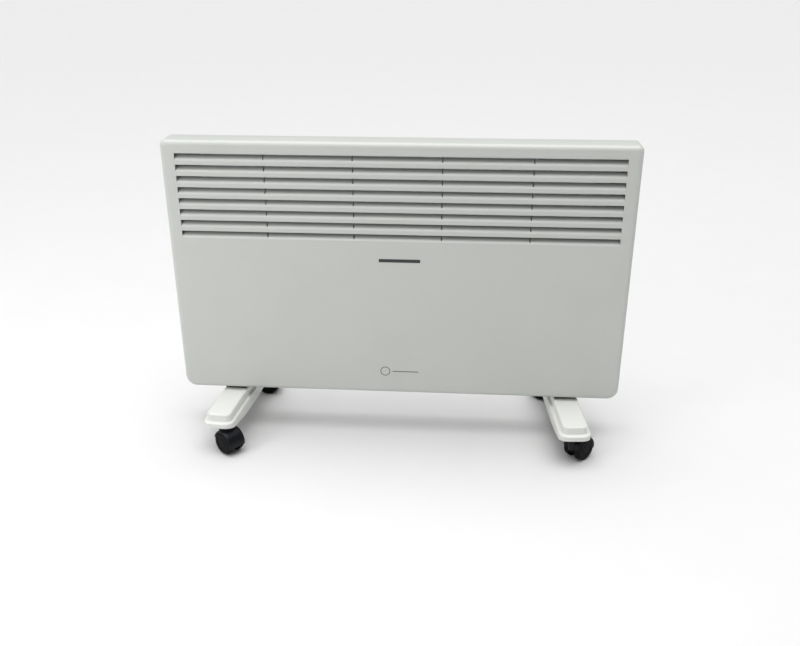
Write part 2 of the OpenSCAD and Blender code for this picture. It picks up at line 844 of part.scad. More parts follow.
module foot(s) {
    color(case_white) at_foot(s) difference() {
        union() {
            difference() {
                foot_shape();
                foot_hollow();
            }
            foot_inside();
            block([-pad_w / 2, pad_y[0], deck_z - eps], [pad_w / 2, pad_y[1], body_z]);
        }
        for (y = [-swivel_y, swivel_y])
            translate([0, y, 0]) cylinder(r = stem_r + snug, h = stem_top);
        for (y = foot_screw_y)
            translate([0, y, brim_z]) cylinder(r = foot_screw_r + loose, h = 20);
    }
}

// A deck on a wider brim, whose skirt hangs lower towards the middle
module foot_shape() {
    translate([0, 0, brim_z - 1]) linear_extrude(deck_z - brim_z + 1)
        foot_outline(deck_w, deck_l, deck_corner);
    intersection() {
        translate([0, 0, skirt_mid_z - 1]) linear_extrude(brim_z - skirt_mid_z + 1)
            foot_outline(brim_w, foot_l, brim_corner);
        translate([-brim_w, 0, skirt_mid_z + bow_r]) rotate([0, 90, 0])
            cylinder(r = bow_r, h = 2 * brim_w, $fn = 256);
    }
}

module foot_hollow() {
    translate([0, 0, skirt_mid_z - 2]) linear_extrude(brim_z - deck_t - skirt_mid_z + 2)
        foot_outline(brim_w - 2 * skirt_t, foot_l - 2 * skirt_t, brim_corner - skirt_t);
    translate([0, 0, skirt_mid_z - 2]) linear_extrude(deck_z - deck_t - skirt_mid_z + 2)
        foot_outline(deck_w - 2 * skirt_t, deck_l - 2 * skirt_t, deck_corner - skirt_t);
}

// Bosses for the caster stems and the stiffening ribs between them
module foot_inside() {
    for (y = [-swivel_y, swivel_y])
        translate([0, y, boss_z + 0.4]) cylinder(r = boss_r, h = deck_z - deck_t + 1 - boss_z - 0.4);
    for (y = foot_rib_y)
        block([-deck_w / 2 + 1, y - 1, skirt_mid_z + 6], [deck_w / 2 - 1, y + 1, deck_z - 1]);
}

module foot_left() { foot(-1); }
module foot_right() { foot(1); }

module foot_screws() {
    color(steel) for (s = [-1, 1], y = foot_screw_y)
        at_foot(s) translate([0, y, 0]) {
            translate([0, 0, deck_z - deck_t - foot_head_t]) cylinder(r = foot_head_r, h = foot_head_t);
            translate([0, 0, deck_z - deck_t - eps]) cylinder(r = foot_screw_r, h = 11);
        }
}

// ---- casters ----

// Moves to a swivel axis, turned the way the caster trails
module at_caster(i) {
    p = swivels[i];
    translate([p[0] - p[2] * sin(p[1]), p[2] * cos(p[1]), 0]) rotate(p[3]) children();
}

module at_axle() {
    translate([trail, 0, wheel_r]) rotate([90, 0, 0]) children();
}

module caster_stems() {
    color(steel) for (i = [0:3])
        at_caster(i) translate([0, 0, stem_z + 0.4]) cylinder(r = stem_r, h = stem_top - stem_z - 0.6);
}

// The hood's section: x is the radius, y the distance from the middle
module hood_section() {
    c = wheel_gap / 2 + wheel_w - tread_r;
    intersection() {
        difference() {
            hood_half_section(c, hood_out - wheel_r + tread_r);
            hood_half_section(c, hood_in - wheel_r + tread_r);
        }
        translate([wheel_r - tread_r, -hood_w / 2]) square([40, hood_w]);
    }
}

module hood_half_section(c, r) {
    translate([0, -c]) square([wheel_r - tread_r + r, 2 * c]);
    for (s = [-1, 1])
        translate([wheel_r - tread_r, s * c]) circle(r);
}

module hood(i) {
    color(black) at_caster(i) difference() {
        union() {
            at_axle() rotate(-hood_front) rotate_extrude(angle = 180) hood_section();
            at_axle() linear_extrude(web_w, center = true) {
                rotate(-hood_front) intersection() {
                    difference() {
                        circle(hood_in + 0.4);
                        circle(web_r - 2);
                    }
                    translate([-40, 0]) square([80, 40]);
                }
                circle(web_r);
            }
            translate([0, 0, wheel_r]) cylinder(r = web_w / 2, h = boss_z - wheel_r);
        }
        translate([0, 0, stem_z]) cylinder(r = stem_r + running, h = 20);
        at_axle() cylinder(r = axle_r + snug, h = 40, center = true);
    }
}

module axle(i) {
    color(steel) at_caster(i) at_axle()
        cylinder(r = axle_r, h = wheel_gap + 2 * wheel_w - 1.2, center = true);
}

module wheel(i, side) {
    color(black) at_caster(i) at_axle() rotate([side > 0 ? 0 : 180, 0, 0])
        rotate_extrude() wheel_section();
}

// The wheel's section: x is the radius, y runs out from the caster's middle
module wheel_section() {
    translate([0, wheel_gap / 2]) difference() {
        union() {
            translate([axle_r + running, 0])
                square([wheel_r - tread_r - axle_r - running, wheel_w]);
            square_from(axle_r + running, wheel_r, wheel_w - tread_r);
            intersection() {
                translate([wheel_r - tread_r, wheel_w - tread_r]) circle(tread_r);
                square([wheel_r + 1, wheel_w]);
            }
        }
        translate([8, wheel_w - 0.6]) square([2.4, 1]);
    }
}

module square_from(x0, x1, h) {
    translate([x0, 0]) square([x1 - x0, h]);
}

module front_left_hood() { hood(0); }
module front_left_axle() { axle(0); }
module front_left_wheel_a() { wheel(0, 1); }
module front_left_wheel_b() { wheel(0, -1); }
module front_right_hood() { hood(1); }
module front_right_axle() { axle(1); }
module front_right_wheel_a() { wheel(1, 1); }
module front_right_wheel_b() { wheel(1, -1); }
module rear_left_hood() { hood(2); }
module rear_left_axle() { axle(2); }
module rear_left_wheel_a() { wheel(2, 1); }
module rear_left_wheel_b() { wheel(2, -1); }
module rear_right_hood() { hood(3); }
module rear_right_axle() { axle(3); }
module rear_right_wheel_a() { wheel(3, 1); }
module rear_right_wheel_b() { wheel(3, -1); }

front_panel();
louvre_ribs();
rear_cover();
cover_screws();
heat_shield();
element_fins();
element_rod();
element_insulators();
element_brackets();
thermal_cutout();
fan_housing();
fan_impeller();
fan_shaft();
fan_bearing();
fan_motor();
control_tray();
thermostat_body();
thermostat_shaft();
thermostat_knob();
switch_low_body();
switch_low_rocker();
switch_high_body();
switch_high_rocker();
switch_fan_body();
switch_fan_rocker();
pilot_lamp_lens();
tip_over_housing();
tip_over_pendulum();
terminal_block();
cable_gland();
internal_wiring();
foot_left();
foot_right();
foot_screws();
caster_stems();
front_left_hood();
front_left_axle();
front_left_wheel_a();
front_left_wheel_b();
front_right_hood();
front_right_axle();
front_right_wheel_a();
front_right_wheel_b();
rear_left_hood();
rear_left_axle();
rear_left_wheel_a();
rear_left_wheel_b();
rear_right_hood();
rear_right_axle();
rear_right_wheel_a();
rear_right_wheel_b();
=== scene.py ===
"""Convector heater: looks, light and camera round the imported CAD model."""
import json
import math

import bmesh
import bpy
from mathutils import Matrix, Vector


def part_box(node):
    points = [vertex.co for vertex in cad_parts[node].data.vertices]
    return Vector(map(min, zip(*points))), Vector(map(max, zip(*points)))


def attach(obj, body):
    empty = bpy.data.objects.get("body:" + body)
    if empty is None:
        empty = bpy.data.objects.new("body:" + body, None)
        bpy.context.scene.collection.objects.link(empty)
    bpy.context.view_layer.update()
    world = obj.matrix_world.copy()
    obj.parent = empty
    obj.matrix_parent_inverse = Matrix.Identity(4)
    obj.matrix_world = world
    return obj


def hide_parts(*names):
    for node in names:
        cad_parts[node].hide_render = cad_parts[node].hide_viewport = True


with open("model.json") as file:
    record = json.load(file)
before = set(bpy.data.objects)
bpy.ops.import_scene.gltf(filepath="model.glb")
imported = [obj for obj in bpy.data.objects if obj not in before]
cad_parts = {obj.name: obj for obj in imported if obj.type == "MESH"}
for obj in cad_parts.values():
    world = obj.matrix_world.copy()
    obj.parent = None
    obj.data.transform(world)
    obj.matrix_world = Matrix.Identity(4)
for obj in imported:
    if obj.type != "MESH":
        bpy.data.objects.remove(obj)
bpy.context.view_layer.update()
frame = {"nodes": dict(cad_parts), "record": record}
NODES = frame["nodes"]

MM = 0.001


# ---------------------------------------------------------------- materials

def new_material(name):
    """A material with its shader, and the node tree to build on."""
    mat = bpy.data.materials.new(name)
    mat.use_nodes = True
    tree = mat.node_tree
    return mat, tree, tree.nodes["Principled BSDF"]


def object_coords(tree):
    return tree.nodes.new("ShaderNodeTexCoord").outputs["Object"]


def noise(tree, scale, detail=3.0, rough=0.5, vector=None):
    n = tree.nodes.new("ShaderNodeTexNoise")
    n.inputs["Scale"].default_value = scale
    n.inputs["Detail"].default_value = detail
    n.inputs["Roughness"].default_value = rough
    tree.links.new(vector or object_coords(tree), n.inputs["Vector"])
    return n.outputs["Fac"]


def ramp(tree, fac, stops):
    """A colour ramp: stops are (position, colour)."""
    r = tree.nodes.new("ShaderNodeValToRGB")
    while len(r.color_ramp.elements) < len(stops):
        r.color_ramp.elements.new(0.5)
    for e, (pos, colour) in zip(r.color_ramp.elements, stops):
        e.position = pos
        e.color = (*colour, 1.0)
    tree.links.new(fac, r.inputs["Fac"])
    return r.outputs["Color"]


def spread(tree, fac, low, high):
    """Maps a 0 to 1 value to a narrow range."""
    m = tree.nodes.new("ShaderNodeMapRange")
    m.inputs["To Min"].default_value = low
    m.inputs["To Max"].default_value = high
    tree.links.new(fac, m.inputs["Value"])
    return m.outputs["Result"]


def bump(tree, shader, height, strength, distance):
    b = tree.nodes.new("ShaderNodeBump")
    b.inputs["Strength"].default_value = strength
    b.inputs["Distance"].default_value = distance
    tree.links.new(height, b.inputs["Height"])
    tree.links.new(b.outputs["Normal"], shader.inputs["Normal"])


def surface(name, light, dark, rough, grain, bump_mm, metallic=0.0, coat=0.0,
            mottle=9.0, specular=0.5):
    """A moulded, painted or metal surface: two close colours mottled on a large scale,
    roughness that varies on a middle one and a fine grain in the bump."""
    rough_swing = 0.05
    bump_strength = 0.35
    mat, tree, shader = new_material(name)
    vec = object_coords(tree)
    colour = ramp(tree, noise(tree, mottle, 4.0, 0.6, vec), [(0.32, dark), (0.68, light)])
    tree.links.new(colour, shader.inputs["Base Color"])
    tree.links.new(spread(tree, noise(tree, mottle * 14, 3.0, 0.5, vec),
                          rough - rough_swing, rough + rough_swing), shader.inputs["Roughness"])
    bump(tree, shader, noise(tree, grain, 2.0, 0.5, vec), bump_strength, bump_mm * MM)
    shader.inputs["Metallic"].default_value = metallic
    shader.inputs["Coat Weight"].default_value = coat
    shader.inputs["Coat Roughness"].default_value = 0.25
    shader.inputs["Specular IOR Level"].default_value = specular
    return mat


MATERIALS = {
    "case_paint": surface("case_paint", (0.555, 0.572, 0.545), (0.537, 0.556, 0.527),
                          0.40, 900, 0.05),
    "foot_plastic": surface("foot_plastic", (0.71, 0.72, 0.69), (0.69, 0.70, 0.67),
                            0.38, 1400, 0.03),
    "zinc_steel": surface("zinc_steel", (0.62, 0.63, 0.65), (0.50, 0.51, 0.54),
                          0.34, 700, 0.03, metallic=1.0, mottle=60),
    "fin_aluminium": surface("fin_aluminium", (0.78, 0.79, 0.80), (0.70, 0.71, 0.73),
                             0.40, 500, 0.04, metallic=1.0, mottle=40),
    "rod_sheath": surface("rod_sheath", (0.10, 0.095, 0.09), (0.06, 0.055, 0.05),
                          0.55, 800, 0.05, metallic=0.6, mottle=50),
    "ceramic": surface("ceramic", (0.88, 0.86, 0.80), (0.84, 0.81, 0.74), 0.22, 600, 0.02),
    "black_plastic": surface("black_plastic", (0.022, 0.022, 0.024), (0.014, 0.014, 0.016),
                             0.45, 1600, 0.04),
    "grey_plastic": surface("grey_plastic", (0.075, 0.078, 0.082), (0.06, 0.062, 0.066),
                            0.48, 1600, 0.04),
    "bearing_bronze": surface("bearing_bronze", (0.55, 0.38, 0.18), (0.45, 0.30, 0.13),
                              0.45, 1500, 0.06, metallic=1.0, mottle=80),
    "cream_plastic": surface("cream_plastic", (0.78, 0.75, 0.64), (0.74, 0.71, 0.60),
                             0.40, 1200, 0.03),
    "lamp_lens": surface("lamp_lens", (0.75, 0.20, 0.03), (0.65, 0.15, 0.02),
                         0.12, 500, 0.01, coat=0.6),
    "pendulum_steel": surface("pendulum_steel", (0.55, 0.56, 0.58), (0.45, 0.46, 0.48),
                              0.30, 900, 0.02, metallic=1.0, mottle=70),
    "wire_insulation": surface("wire_insulation", (0.45, 0.08, 0.05), (0.38, 0.06, 0.04),
                               0.40, 900, 0.02),
    "caster_black": surface("caster_black", (0.005, 0.006, 0.009), (0.004, 0.0045, 0.0065),
                            0.36, 1300, 0.03, specular=0.2),
    "wheel_black": surface("wheel_black", (0.006, 0.0065, 0.006), (0.0045, 0.005, 0.0045),
                           0.50, 1500, 0.04, specular=0.08),
    "print_ink": surface("print_ink", (0.030, 0.032, 0.034), (0.022, 0.024, 0.026),
                         0.45, 900, 0.01),
    "print_grey": surface("print_grey", (0.17, 0.175, 0.175), (0.15, 0.155, 0.155),
                          0.45, 900, 0.01),
    # The pad's colour is painted shade: a dark stand-in for the shade in the gap between the
    # case and the foot.
    "pad_painted_shade": surface("pad_painted_shade", (0.060, 0.062, 0.062), (0.048, 0.050, 0.050),
                          0.65, 900, 0.03, specular=0.2),
    "white_mark": surface("white_mark", (0.80, 0.80, 0.78), (0.76, 0.76, 0.74),
                          0.40, 900, 0.01),
}


def paint_shade_inward(mat, start, end, stops):
    """Multiplies a material's colour by a ramp along +Y, from start to end: painted shade,
    the colour darker further behind the front, where the shade falls."""
    tree = mat.node_tree
    shader = tree.nodes["Principled BSDF"]
    colour = shader.inputs["Base Color"].links[0].from_socket
    split = tree.nodes.new("ShaderNodeSeparateXYZ")
    tree.links.new(object_coords(tree), split.inputs["Vector"])
    depth = tree.nodes.new("ShaderNodeMapRange")
    depth.inputs["From Min"].default_value = start
    depth.inputs["From Max"].default_value = end
    tree.links.new(split.outputs["Y"], depth.inputs["Value"])
    mix = tree.nodes.new("ShaderNodeMix")
    mix.data_type = "RGBA"
    mix.blend_type = "MULTIPLY"
    mix.inputs[0].default_value = 1.0
    tree.links.new(colour, mix.inputs[6])
    tree.links.new(ramp(tree, depth.outputs["Result"], stops), mix.inputs[7])
    tree.links.new(mix.outputs[2], shader.inputs["Base Color"])


def dress(obj, mat):
    """Gives an object one material."""
    obj.data.materials.clear()
    obj.data.materials.append(mat)


# The louvres' paint darkens between these depths behind the front face: painted shade.
SHADE_START, SHADE_END = 0.8 * MM, 6.5 * MM
FRONT_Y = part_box("front_panel")[0].y
# The louvres' colour is a little lighter than the case paint: a painted highlight on the lips'
# bends, with the painted shade multiplied over it behind the front.
MATERIALS["louvre_painted_shade_and_highlight"] = surface("louvre_painted_shade_and_highlight", (0.610, 0.622, 0.600),
                                    (0.590, 0.604, 0.580), 0.40, 900, 0.05)
paint_shade_inward(MATERIALS["louvre_painted_shade_and_highlight"], FRONT_Y + SHADE_START, FRONT_Y + SHADE_END,
              [(0.0, (1.0, 1.0, 1.0)), (0.30, (0.78, 0.78, 0.78)), (1.0, (0.40, 0.40, 0.40))])

# The louvre ribs take the louvres' colour, so they carry its painted shade, dark behind the
# front.
for part in frame["record"]["subparts"]:
    finish = "louvre_painted_shade_and_highlight" if part["node"] == "louvre_ribs" else part["material_slot"]
    dress(NODES[part["node"]], MATERIALS[finish])


# ---------------------------------------------------------------- mesh building

def arc(start, end, steps):
    """Angles in radians from start to end degrees, both included."""
    return [math.radians(start + (end - start) * i / steps) for i in range(steps + 1)]


def loop_points(half, low, high, r_low, r_high, inset=0.0, steps=12, cuts=1):
    """A rounded outline, anticlockwise: half its width, its two ends and their corner
    radii, drawn inset from its edge. cuts divides each straight side."""
    least = 0.05 * MM
    corners = []
    for sx, end, r, first in ((1, -1, r_low, -90), (1, 1, r_high, 0),
                              (-1, 1, r_high, 90), (-1, -1, r_low, 180)):
        reach = max(r, inset + least)
        centre_x = sx * (half - reach)
        centre_y = (high - reach) if end > 0 else (low + reach)
        corners.append([(centre_x + (reach - inset) * math.cos(a),
                         centre_y + (reach - inset) * math.sin(a))
                        for a in arc(first, first + 90, steps)])
    points = []
    for i, corner in enumerate(corners):
        points += corner
        after = corners[(i + 1) % 4][0]
        last = corner[-1]
        points += [tuple(last[k] + (after[k] - last[k]) * j / cuts for k in (0, 1))
                   for j in range(1, cuts)]
    return points


def skin(bm, rings):
    """Joins closed rings of points by quads and returns their vertices."""
    grid = [[bm.verts.new(p) for p in ring] for ring in rings]
    count = len(rings[0])
    for a, b in zip(grid, grid[1:]):
        for i in range(count):
            j = (i + 1) % count
            bm.faces.new((a[i], a[j], b[j], b[i]))
    return grid


def add_box(bm, low, high, round_edges=0.0):
    """A box, its edges rounded, as a closed shell of its own."""
    made = bmesh.ops.create_cube(bm, size=1.0)["verts"]
    for v in made:
        v.co = Vector([low[k] if v.co[k] < 0 else high[k] for k in range(3)])
    if round_edges:
        edges = list({e for v in made for e in v.link_edges})
        bmesh.ops.bevel(bm, geom=edges, offset=round_edges, segments=3, profile=0.5,
                        affect="EDGES")


def add_lathe(bm, profile, matrix, steps=64):
    """Turns a closed profile of (radius, height) points about the matrix's Z axis."""
    rings = []
    for k in range(steps):
        a = 2 * math.pi * k / steps
        rings.append([matrix @ Vector((r * math.cos(a), r * math.sin(a), z))
                      for r, z in profile])
    skin(bm, rings + [rings[0]])


def make_piece(name, bm, body, slot, sharp=32, finish=None):
    """Cleans the mesh, gives it its finish and lets it ride on its body."""
    bmesh.ops.remove_doubles(bm, verts=bm.verts, dist=1e-6)
    bmesh.ops.recalc_face_normals(bm, faces=bm.faces)
    mesh = bpy.data.meshes.new(name)
    bm.to_mesh(mesh)
    bm.free()
    mesh.polygons.foreach_set("use_smooth", [True] * len(mesh.polygons))
    mesh.set_sharp_from_angle(angle=math.radians(sharp))
    obj = bpy.data.objects.new(name, mesh)
    bpy.context.scene.collection.objects.link(obj)
    dress(obj, MATERIALS[finish or slot])
    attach(obj, body)
    return obj


# ---------------------------------------------------------------- feet

DECK_W, BRIM_W, DECK_L, FOOT_L = 38 * MM, 48 * MM, 220 * MM, 234 * MM
DECK_R, BRIM_R = 9 * MM, 14 * MM
DECK_Z, BRIM_Z = 66.5 * MM, 54 * MM
SKIRT_END_Z, SKIRT_MID_Z = 46 * MM, 34 * MM
WALL = 2.5 * MM
FOOT_X, FOOT_TOE = 263 * MM, 5
SWIVEL_Y, STEM_R = 95 * MM, 3.5 * MM
BOSS_R, BOSS_Z, BOSS_CHAMFER = 7.5 * MM, 41.4 * MM, 0.6 * MM
# Cross ribs under the deck; ribs and bosses sink this far into the deck from below.
RIB_PLACES, RIB_HALF_T, RIB_RISE = (-45, -22, 22, 45), 1 * MM, 6 * MM
DECK_BITE = 1 * MM
# The pad between a foot and the case, coloured dark as painted shade: the shade in the gap
# under the case.
PAD_HALF_W, PAD_Y, PAD_SINK, PAD_EDGE = 17 * MM, (-21 * MM, 23 * MM), 0.5 * MM, 0.8 * MM


def skirt_z(y):
    """Height of the skirt's lower edge: an arc that hangs lowest in the middle."""
    bow = SKIRT_END_Z - SKIRT_MID_Z
    radius = (FOOT_L ** 2 / 4 + bow * bow) / (2 * bow)
    return SKIRT_MID_Z + radius - math.sqrt(radius * radius - y * y)


def foot_rings():
    """The foot's section from the middle of the deck, over the brim and round the skirt's
    lower edge to the inside."""
    def ring(width, length, corner, inset, z):
        points = loop_points(width / 2, -length / 2, length / 2, corner, corner, inset,
                             steps=10, cuts=16)
        return [(x, y, z(y) if callable(z) else z) for x, y in points]

    def deck(inset, z):
        return ring(DECK_W, DECK_L, DECK_R, inset, z)

    def brim(inset, z):
        return ring(BRIM_W, FOOT_L, BRIM_R, inset, z)

    deck_fillet, cove, brim_fillet, lower = 2.4 * MM, 1.2 * MM, 1.6 * MM, 0.7 * MM
    rings = [deck(deck_fillet + 3 * MM, DECK_Z)]
    rings += [deck(deck_fillet * (1 - math.sin(a)), DECK_Z - deck_fillet * (1 - math.cos(a)))
              for a in arc(0, 90, 6)]
    rings += [deck(-cove * (1 - math.cos(a)), BRIM_Z + cove * (1 - math.sin(a)))
              for a in arc(0, 90, 4)]
    rings += [brim(brim_fillet * (1 - math.sin(a)), BRIM_Z - brim_fillet * (1 - math.cos(a)))
              for a in arc(0, 90, 5)]
    rings += [brim(lower * (1 - math.cos(a)),
                   lambda y, a=a: skirt_z(y) + lower * (1 - math.sin(a)))
              for a in arc(0, 90, 3)]
    rings += [brim(WALL, skirt_z), brim(WALL, BRIM_Z - WALL),
              deck(WALL, BRIM_Z - WALL), deck(WALL, DECK_Z - WALL)]
    return rings


def build_foot(name, node, side):
    """One foot with its ribs and stem bosses, and the pad on it; side is -1 left, 1 right."""
    bm = bmesh.new()
    grid = skin(bm, foot_rings())
    bm.faces.new(grid[0])
    bm.faces.new(list(reversed(grid[-1])))
    for y in RIB_PLACES:
        add_box(bm, (-DECK_W / 2 + DECK_BITE, y * MM - RIB_HALF_T, SKIRT_MID_Z + RIB_RISE),
                (DECK_W / 2 - DECK_BITE, y * MM + RIB_HALF_T, DECK_Z - DECK_BITE))
    for y in (-SWIVEL_Y, SWIVEL_Y):
        tube = [(STEM_R, BOSS_Z), (BOSS_R - BOSS_CHAMFER, BOSS_Z),
                (BOSS_R, BOSS_Z + BOSS_CHAMFER),
                (BOSS_R, DECK_Z - DECK_BITE), (STEM_R, DECK_Z - DECK_BITE)]
        add_lathe(bm, tube, Matrix.Translation((0, y, 0)), 40)
    place = Matrix.Translation((side * FOOT_X, 0, 0)) @ Matrix.Rotation(
        math.radians(side * FOOT_TOE), 4, "Z")
    bmesh.ops.transform(bm, matrix=place, verts=bm.verts)
    foot = make_piece(name, bm, "case", "foot_plastic")
    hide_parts(node)
    bm = bmesh.new()
    add_box(bm, (-PAD_HALF_W, PAD_Y[0], DECK_Z - PAD_SINK),
            (PAD_HALF_W, PAD_Y[1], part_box(node)[1].z), PAD_EDGE)
    bmesh.ops.transform(bm, matrix=place, verts=bm.verts)
    # The pad is coloured dark: painted shade for the gap under the case.
    make_piece(name.replace("skin", "pad"), bm, "case", "foot_plastic", finish="pad_painted_shade")


# ---------------------------------------------------------------- front shell

EDGE_R, SHEET = 7.5 * MM, 1.2 * MM
TOP_R, BOTTOM_R = 8 * MM, 18 * MM
LIP_W = 9 * MM
BAYS, SLIT_W = 5, 2 * MM
SLOT_COUNT, SLOT_PITCH, SLOT_W, SLOT_TOP = 8, 16.7 * MM, 648 * MM, 18.4 * MM
OPENING_H, LIP_R, BLADE_TILT, BLADE_LEN = 8.2 * MM, 3.8 * MM, 45, 8 * MM
LIP_RISE = LIP_R * math.sin(math.radians(BLADE_TILT))
# Back folds, cover screws, inlets underneath and the foot screws' holes.
FOLD_R = 1.8 * MM
SCREW_PLACES_X, SCREW_PLACES_Z = (-300, -100, 100, 300), (200, 340)
SCREW_INSET, SCREW_HOLE_R = 5.5 * MM, 1.55 * MM
INLET_COUNT, INLET_PITCH, INLET_HALF_W, INLET_Y = 25, 16 * MM, 5 * MM, (-17 * MM, 5 * MM)
TRAY_FLANGE = 3 * MM
FOOT_SCREW_Y, FOOT_SCREW_HOLE_R = (-12 * MM, 4 * MM), 2.2 * MM
# How far a cutting box reaches past the sheet on each side.
CUT_REACH = 3 * MM


def shell_section():
    """The folded sheet's section as (inset, depth), from the face's middle outward,
    round the bend, along the side, in along the return lip and back inside."""
    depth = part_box("front_panel")[1].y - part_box("front_panel")[0].y
    outer = [(EDGE_R * (1 - math.sin(a)), EDGE_R * (1 - math.cos(a))) for a in arc(0, 90, 12)]
    outer += [(FOLD_R * (1 - math.cos(a)), depth - FOLD_R * (1 - math.sin(a)))
              for a in arc(0, 90, 4)]
    outer += [(LIP_W, depth), (LIP_W, depth - SHEET)]
    inner_fold = FOLD_R - SHEET
    inner = [(SHEET + inner_fold * (1 - math.cos(a)),
              depth - SHEET - inner_fold * (1 - math.sin(a))) for a in arc(90, 0, 3)]
    inner_r = EDGE_R - SHEET
    inner += [(SHEET + inner_r * (1 - math.sin(a)), SHEET + inner_r * (1 - math.cos(a)))
              for a in arc(90, 0, 8)]
    return outer + inner


def slot_floor(i):
    """Height of the flat bar's top edge under louvre i, counted from the top."""
    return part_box("front_panel")[1].z - SLOT_TOP - i * SLOT_PITCH - OPENING_H - LIP_RISE


def add_bar(bm, section, x0, x1):
    """A solid with the section (y, z) between two places along X."""
    ends = [[bm.verts.new((x, y, z)) for y, z in section] for x in (x0, x1)]
    count = len(section)
    for i in range(count):
        j = (i + 1) % count
        bm.faces.new((ends[0][i], ends[0][j], ends[1][j], ends[1][i]))
    bm.faces.new(ends[0])
    bm.faces.new(list(reversed(ends[1])))


def add_blade(bm, low, front):
    """One louvre: a lip bent up from the bar's edge, and the flat parts behind it,
    slit in front of every rib."""
    def at(radius, degrees):
        a = math.radians(degrees)
        return Vector((front + LIP_R + radius * math.cos(a), low + radius * math.sin(a)))

    bend_steps, clear, tuck, chamfer = 8, 0.03 * MM, 0.3 * MM, 0.4 * MM
    end = 180 - BLADE_TILT
    bend = [180 - BLADE_TILT * k / bend_steps for k in range(bend_steps + 1)]
    add_bar(bm, [at(LIP_R, a) for a in bend] + [at(LIP_R - SHEET, a) for a in reversed(bend)],
            -SLOT_W / 2, SLOT_W / 2)
    lean = Vector((math.sin(math.radians(end)), -math.cos(math.radians(end))))
    outer, inner = at(LIP_R - clear, end), at(LIP_R - SHEET + clear, end)
    flat = [outer - lean * tuck, outer + lean * (BLADE_LEN - chamfer)]
    flat += [outer * 0.7 + inner * 0.3 + lean * BLADE_LEN,
             outer * 0.3 + inner * 0.7 + lean * BLADE_LEN]
    flat += [inner + lean * (BLADE_LEN - chamfer), inner - lean * tuck]
    for j in range(BAYS):
        x0 = -SLOT_W / 2 + j * SLOT_W / BAYS + (SLIT_W / 2 if j else 0)
        x1 = -SLOT_W / 2 + (j + 1) * SLOT_W / BAYS - (SLIT_W / 2 if j < BAYS - 1 else 0)
        add_bar(bm, flat, x0, x1)


def cutter(name, boxes, rods):
    """A helper solid to cut holes with: boxes, and rods as (centre, radius, turn)."""
    rod_length = 8 * MM
    bm = bmesh.new()
    for low, high in boxes:
        add_box(bm, low, high)
    for centre, radius, turn in rods:
        bmesh.ops.create_cone(bm, cap_ends=True, segments=24, radius1=radius, radius2=radius,
                              depth=rod_length, matrix=Matrix.Translation(centre) @ turn)
    mesh = bpy.data.meshes.new(name)
    bm.to_mesh(mesh)
    bm.free()
    obj = bpy.data.objects.new(name, mesh)
    bpy.context.scene.collection.objects.link(obj)
    return obj


def cut_away(obj, tool):
    """Takes the tool's volume out of obj and applies the result."""
    mod = obj.modifiers.new("cut", "BOOLEAN")
    mod.object = tool
    mod.operation = "DIFFERENCE"
    mod.solver = "EXACT"
    depsgraph = bpy.context.evaluated_depsgraph_get()
    cut = bpy.data.meshes.new_from_object(obj.evaluated_get(depsgraph))
    obj.modifiers.clear()
    obj.data = cut
    bpy.data.objects.remove(tool)


def cover_screw_places():
    """Middles of the cover screws' holes, in the plane of the back."""
    low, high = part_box("front_panel")
    places = [(x * MM, z) for x in SCREW_PLACES_X
              for z in (low.z + SCREW_INSET, high.z - SCREW_INSET)]
    return places + [(s * (high.x - SCREW_INSET), z * MM)
                     for s in (-1, 1) for z in SCREW_PLACES_Z]


def shell_cuts():
    """Louvre openings, air inlets underneath, the controls' opening and screw holes."""
    low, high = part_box("front_panel")
    tray_low, tray_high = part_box("control_tray")
    boxes = []
    for i in range(SLOT_COUNT):
        base = slot_floor(i)
        boxes.append(((-SLOT_W / 2, low.y - CUT_REACH, base),
                      (SLOT_W / 2, low.y + CUT_REACH, base + OPENING_H + LIP_RISE)))
    for i in range(INLET_COUNT):
        x = (i - INLET_COUNT // 2) * INLET_PITCH
        boxes.append(((x - INLET_HALF_W, INLET_Y[0], low.z - CUT_REACH),
                      (x + INLET_HALF_W, INLET_Y[1], low.z + CUT_REACH)))
    boxes.append(((high.x - CUT_REACH, tray_low.y + TRAY_FLANGE, tray_low.z + TRAY_FLANGE),
                  (high.x + CUT_REACH, tray_high.y - TRAY_FLANGE, tray_high.z - TRAY_FLANGE)))
    across = Matrix.Rotation(math.pi / 2, 4, "X")
    rods = [(Vector((x, high.y, z)), SCREW_HOLE_R, across) for x, z in cover_screw_places()]
    for side in (-1, 1):
        turn = Matrix.Rotation(math.radians(side * FOOT_TOE), 4, "Z")
        for y in FOOT_SCREW_Y:
            rods.append((Vector((side * FOOT_X, 0, low.z)) + turn @ Vector((0, y, 0)),
                         FOOT_SCREW_HOLE_R, Matrix.Identity(4)))
    return cutter("shell_cutter", boxes, rods)


def build_front_panel():
    """The folded shell with its openings cut out, and the louvres as a piece of their own."""
    low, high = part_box("front_panel")
    rings = []
    for inset, depth in shell_section():
        points = loop_points(high.x, low.z, high.z, BOTTOM_R, TOP_R, inset, steps=14)
        rings.append([(x, low.y + depth, z) for x, z in points])
    bm = bmesh.new()
    grid = skin(bm, rings)
    bm.faces.new(grid[0])
    bm.faces.new(list(reversed(grid[-1])))
    panel = make_piece("front_panel_skin", bm, "case", "case_paint", sharp=38)
    cut_away(panel, shell_cuts())
    bm = bmesh.new()
    for i in range(SLOT_COUNT):
        add_blade(bm, slot_floor(i), low.y)
    # The louvres' colour is painted shade behind the front and a painted highlight on the lips.
    make_piece("front_panel_louvres", bm, "case", "case_paint", sharp=38,
               finish="louvre_painted_shade_and_highlight")
    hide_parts("front_panel")


# ---------------------------------------------------------------- small details

